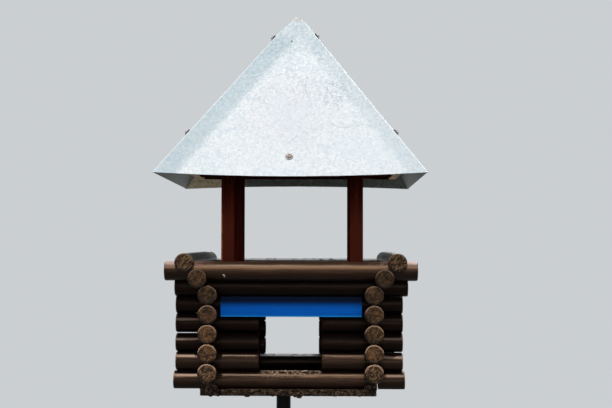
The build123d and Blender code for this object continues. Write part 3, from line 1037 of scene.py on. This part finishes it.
def roof_screw(name, place, outward, spin, tilt, size, head):
    """A hexagon-head roofing screw with its washer and rubber seal."""
    profile = [(6.2, -0.6, 0), (7.6, 0.2, 0), (8.1, 1.0, 0), (7.9, 2.0, 0), (7.6, 2.2, 1), (7.7, 2.4, 1),
               (7.3, 2.7, 1), (5.6, 3.0, 1), (5.3, 3.1, 2), (5.3, 3.4, 2), (4.4, 3.5, 2), (4.3, 3.6, 1),
               (4.3, 5.6, 1), (3.9, 6.1, 1), (2.9, 6.3, 1), (2.3, 5.9, 2)]
    profile = [(radius * size * MM, height * size * MM, slot) for radius, height, slot in profile]
    mesh = turned_mesh(name, profile, 24, 35, 3.55 * size * MM)
    screw = new_piece(name, mesh, "galvanised_sheet", "washer_rubber", "zinc_washer", head, location=place)
    lean = Vector(outward).to_track_quat("Z", "Y") @ Matrix.Rotation(tilt, 3, "X").to_quaternion()
    screw.rotation_euler = (lean @ Matrix.Rotation(spin, 3, "Z").to_quaternion()).to_euler()


def end_sheet_place(side, offset, above):
    """A place on the front or back sheet, at an offset from the cabin's axis and above the eave."""
    return Vector((cabin_x + offset, side * roof_half(EAVE_Z + above), EAVE_Z + above))


def build_roof_screws():
    """A screw and a nail in the middle of each end sheet, and two screws through each hip flange."""
    rise = Vector((0, 1, 1 / HIP_RUN)).normalized()
    number = 0
    for side, name in ((-1, "front"), (1, "back")):
        outward = Vector((0, side * rise.z, rise.y))
        place = end_sheet_place(side, -3.3 * MM, 35 * MM) - outward * 0.6 * MM
        roof_screw(f"{name}_screw", place, outward, 0.4 + number, radians(3), 1.06, "rusty_steel")
        place = end_sheet_place(side, -4.8 * MM, 324 * MM) - outward * 0.3 * MM
        roof_nail(f"{name}_roof_nail", place, outward)
        number += 2
        for hand, hand_name in ((-1, "left"), (1, "right")):
            outward = Vector((hand * rise.z, 0, rise.y))
            for above in (91 * MM, 333 * MM if hand < 0 else 338 * MM):
                z = EAVE_Z + above
                half = roof_half(z)
                x = roof_middle(z) + hand * (half + SHEET_FOLD)
                place = Vector((x, side * (half - HIP_FLANGE / 2), z)) + outward * 0.4 * MM
                screw = f"{name}_{hand_name}_screw_{'low' if above < 0.1 else 'high'}"
                roof_screw(screw, place, outward, number, radians(4), 1.0, "zinc_washer")
                number += 1


def roof_nail(name, place, outward):
    """A flat nail head, slightly domed and driven almost flush."""
    profile = [(0.9, -2.0), (1.0, 0.0), (0.95, 0.5), (0.6, 0.9), (0.2, 1.0)]
    mesh = turned_mesh(name, [(r * 2.1 * MM, h * 1.2 * MM, 0) for r, h in profile], 16, 180)
    head = new_piece(name, mesh, "galvanised_sheet", "washer_rubber", location=place)
    head.rotation_euler = Vector(outward).to_track_quat("Z", "Y").to_euler()


# Floor board

def ragged_outline(low, high, seed):
    """Points round a rectangle, about 3 mm apart, pushed inwards by crumbling."""
    corners = [(low.x, low.y), (high.x, low.y), (high.x, high.y), (low.x, high.y)]
    points = []
    for start, end, inward in zip(corners, corners[1:] + corners[:1], ((0, 1), (-1, 0), (0, -1), (1, 0))):
        length = hypot(end[0] - start[0], end[1] - start[1])
        steps = round(length / (3 * MM))
        for step in range(steps):
            share = step / steps
            x = start[0] + (end[0] - start[0]) * share
            y = start[1] + (end[1] - start[1]) * share
            bite = 0.25 + 0.55 * max(0.0, wobble((x, y, 0), seed, 0.006))
            bite += 1.3 * max(0.0, wobble((x, y, 0.3), seed, 0.022))
            bite += 0.9 * clamp(1 - min(share, 1 - share) * length / (5 * MM))
            points.append((x + inward[0] * bite * MM, y + inward[1] * bite * MM))
    return points


def build_floor():
    """The floor board, whose edges are swollen and crumbling, in layers."""
    outlines = []
    for _, seed, inset in FLOOR_LAYERS:
        stand_back = Vector((inset, inset, 0)) * MM
        outlines.append(ragged_outline(floor_low + stand_back, floor_high - stand_back, seed))
    count = min(len(outline) for outline in outlines)
    rings = []
    for outline, (share, seed, _) in zip(outlines, FLOOR_LAYERS):
        ring = []
        for index in range(count):
            x, y = outline[index * len(outline) // count]
            z = floor_low.z + (floor_high.z - floor_low.z) * share
            if 0.0 < share < 1.0:
                z += 0.9 * MM * wobble((x, y, share), seed, 0.009)
            elif share == 0.0:
                z += 0.7 * MM * max(0.0, wobble((x, y, share), seed, 0.007))
            ring.append((x, y, z))
        rings.append(ring)
    bm = bmesh.new()
    loft(bm, rings)
    bmesh.ops.triangulate(bm, faces=[face for face in bm.faces if len(face.verts) > 4])
    mesh = mesh_from(bm, "floor_board_wood", 45)
    floor = new_piece("floor_board_wood", mesh, "weathered_board", "weathered_board")
    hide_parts("floor_board")


def build_flakes():
    """Swollen flakes that hang from the floor board's front and left edges."""
    generator = random.Random(11)
    bm = bmesh.new()
    bits = 5
    for x, width, drop in FLAKES:
        top, bottom = [], []
        for step in range(bits + 1):
            share = step / bits
            edge = x - width / 2 + width * share
            hang = drop * (sin(pi * share) ** 0.7 * (0.6 + 0.4 * generator.random()) + 0.08)
            top.append((edge, 1.0))
            bottom.append((edge + generator.uniform(-0.5, 0.5), -hang))
        thick = generator.uniform(1.6, 2.8)
        front = floor_low.y / MM + generator.uniform(0.6, 1.6)
        rings = []
        for depth, shrink in ((0.0, 0.75), (0.3, 1.0), (0.7, 0.95), (1.0, 0.6)):
            y = front + thick * depth
            line = top + [(px, pz * shrink) for px, pz in reversed(bottom)]
            rings.append([(cabin_x + px * MM, y * MM, floor_low.z + pz * MM) for px, pz in line])
        loft(bm, rings)
    new_piece("floor_board_flakes", mesh_from(bm, "floor_board_flakes"), "weathered_board", "weathered_board")


# Small things on the logs

def lump(bm, centre, size, generator):
    """A small irregular crumb."""
    made = bmesh.ops.create_icosphere(bm, subdivisions=1, radius=1.0)["verts"]
    spin = Matrix.Rotation(generator.uniform(0, 2 * pi), 3, "Z")
    spin = spin @ Matrix.Rotation(generator.uniform(-0.6, 0.6), 3, "X")
    stretch = Vector((generator.uniform(0.8, 1.9), generator.uniform(0.7, 1.2), generator.uniform(0.35, 0.7)))
    for vertex in made:
        point = vertex.co * generator.uniform(0.75, 1.15)
        vertex.co = Vector(centre) + spin @ (point * stretch * size)


def build_crumbs():
    """Crumbs and torn fibres on the perch log and on the floor behind it."""
    generator = random.Random(5)
    radius, y, z = log_axis("front_log_7", 1)
    bm = bmesh.new()
    for _ in range(190):
        x = generator.triangular(-62, 72, 8)
        angle = radians(generator.triangular(-38, 52, 2))
        size = generator.choice((0.5, 0.6, 0.8, 1.1, 1.5)) * generator.uniform(0.7, 1.2)
        reach = radius + (size * 0.25 - 0.2) * MM
        centre = (cabin_x + x * MM, y - reach * sin(angle), z + reach * cos(angle))
        lump(bm, centre, size * MM, generator)
    for _ in range(150):
        x, depth = generator.uniform(-120, 120), generator.uniform(-125, 125)
        size = generator.uniform(0.8, 1.9)
        lump(bm, (cabin_x + x * MM, depth * MM, floor_high.z + 0.3 * size * MM), size * MM, generator)
    new_piece("crumbs", mesh_from(bm, "crumbs"), "weathered_board", "dry_crumbs")


def build_paint_chip():
    """A pale chipped spot on the top front log, with a thin tail."""
    radius, y, z = log_axis("front_log_1", 1)
    outline = ((-5.5, 3.4), (-2.6, 2.6), (-0.4, 2.4), (1.3, 1.6), (2.0, -0.6), (1.4, -3.2), (0.1, -4.0),
               (-1.1, -3.0), (-1.6, -0.8), (-2.8, 1.4))
    rings = []
    for lift, shrink in ((-0.4, 1.0), (0.35, 0.96), (0.7, 0.7)):
        ring = []
        for px, pz in outline:
            height = z - 9.6 * MM + pz * shrink * MM
            depth = sqrt(max(0.0, (radius + lift * MM) ** 2 - (height - z) ** 2))
            ring.append((cabin_x + (-143.2 + px * shrink) * MM, y - depth, height))
        rings.append(ring)
    bm = bmesh.new()
    loft(bm, rings)
    new_piece("front_log_1_chip", mesh_from(bm, "front_log_1_chip", 180), "painted_log", "dry_crumbs")


def build_splinter():
    """A pale splinter, lifted along the inner lower edge of the back rail."""
    start, end = Vector((151.5, 240.9, 1705.4)) * MM, Vector((209.0, 240.9, 1701.0)) * MM
    rings = []
    for step in range(13):
        share = step / 12
        middle = start.lerp(end, share) + Vector((cabin_x, 0, 0.6 * MM * sin(7 * share)))
        half = (0.25 + 0.75 * sin(pi * share)) * MM
        lift = (0.6 + 1.6 * share) * MM
        section = ((0, half), (-lift, 0.4 * half), (-lift, -half), (0, -0.8 * half))
        rings.append([middle + Vector((0, y, z)) for y, z in section])
    bm = bmesh.new()
    loft(bm, rings)
    new_piece("rail_splinter", mesh_from(bm, "rail_splinter"), "bare_wood", "bare_wood")


# Stage, light and camera

def seen_rays(n):
    """1 for rays that see the backdrop: from the camera, and by way of gloss or glass."""
    straight = n.math("MAXIMUM", n.value("LightPath", "Is Camera Ray"), n.value("LightPath", "Is Glossy Ray"))
    return n.math("MAXIMUM", straight, n.value("LightPath", "Is Transmission Ray"))


def build_floor_stage():
    """A pale floor that keeps the shadow near the pole and melts into the backdrop."""
    bm = bmesh.new()
    bmesh.ops.create_circle(bm, cap_ends=True, segments=96, radius=60.0)
    floor = linked("studio_floor", mesh_from(bm, "studio_floor"))
    n = Nodes("studio_floor", 0.95)
    seen = seen_rays(n)
    pale = n.ramp(n.noise(2.0, 2.0, 0.55), (0.3, (160, 163, 166)), (0.7, (163, 166, 169)))
    n.base = n.mix(seen, (98, 100, 102), pale)
    distance = n.value("VectorMath", "Value", {"operation": "LENGTH"}, n.coordinates)
    far = n.between(distance, 0.9, 3.2) * seen
    n.finish(n.value("MixShader", 0, None, far, n.surface(gloss=0.1), n.value("Emission", Color=PALE)))
    floor.data.materials.append(n.owner)


def build_world():
    """Soft light that is stronger overhead, and a plain pale backdrop."""
    world = bpy.data.worlds.new("studio")
    bpy.context.scene.world = world
    n = Nodes("studio", owner=world)
    height = n.split(n.value("TexCoord", "Generated"))[2]
    level = n.value("MapRange", Value=height, From_Min=-0.1, From_Max=0.9, To_Min=0.2, To_Max=0.5)
    light = n.value("Background", Color=(228, 236, 246), Strength=level)
    backdrop = n.value("Background", Color=PALE, Strength=1.0)
    n.finish(n.value("MixShader", 0, None, seen_rays(n), light, backdrop), "OutputWorld")


def sun(name, from_direction, strength, spread, colour=(255, 255, 255)):
    """A soft lamp far away; the light comes from a direction."""
    data = bpy.data.lights.new(name, "SUN")
    data.energy = strength
    data.angle = radians(spread)
    data.color = srgb(colour)[:3]
    lamp = linked(name, data)
    lamp.location = Vector(from_direction) * 5
    lamp.rotation_euler = Vector(from_direction).to_track_quat("Z", "Y").to_euler()


def build_lights():
    sun("key", (-0.05, -0.33, 0.945), 2.2, 1.5, (255, 250, 242))
    sun("front", (0.1, -1.0, 0.15), 0.6, 30)
    sun("back", (0.35, 0.75, 0.85), 1.6, 10)
    sun("left", (-0.95, -0.35, 0.25), 0.3, 25, (255, 236, 214))


def build_camera():
    data = bpy.data.cameras.new("camera")
    data.lens = CAMERA_LENS
    data.sensor_width = CAMERA_SENSOR
    data.clip_end = 200.0
    camera = linked("camera", data)
    camera.location = (cabin_x + CAMERA_RIGHT, -CAMERA_DISTANCE, CAMERA_HEIGHT)
    aim = Matrix.Rotation(CAMERA_YAW_LEFT, 3, "Z") @ Matrix.Rotation(pi / 2 + CAMERA_PITCH_UP, 3, "X")
    camera.rotation_euler = (aim @ Matrix.Rotation(CAMERA_ROLL, 3, "Z")).to_euler()
    bpy.context.scene.camera = camera


def finish_cad_nodes():
    """Materials and softened edges, in millimetres, for the CAD nodes that stay."""
    finishes = {"painted_rails": ("post_stain", 1.0), "cross_beams": ("post_stain", 1.0),
                "bare_rails": ("bare_wood", 1.0), "hip_rafters": ("bare_wood", 0.8),
                "side_sills": ("weathered_board", 1.5), "pole": ("pole_steel", 0.8)}
    for wall in ("front", "back"):
        finishes[f"{wall}_blue_board"] = ("blue_paint", 1.0)
        for hand in ("left", "right"):
            finishes[f"{wall}_{hand}_post"] = ("post_stain", 1.4)
    for node, (finish, width) in finishes.items():
        piece = frame["nodes"][node]
        piece.data.materials.clear()
        piece.data.materials.append(materials[finish])
        bevel = piece.modifiers.new("soft_edges", "BEVEL")
        bevel.width = width * MM
        bevel.segments = 3
        bevel.limit_method = "ANGLE"
        bevel.angle_limit = radians(40)


build_materials()
build_camera()
build_floor_stage()
build_world()
build_lights()
build_walls()
build_end_sheet("roof_front", -1, 61)
build_end_sheet("roof_back", 1, 67)
build_side_sheet("roof_left", -1, 71)
build_side_sheet("roof_right", 1, 79)
build_tip()
build_roof_screws()
build_floor()
build_flakes()
build_crumbs()
build_paint_chip()
build_splinter()
finish_cad_nodes()

bpy.context.scene.view_settings.view_transform = "Standard"
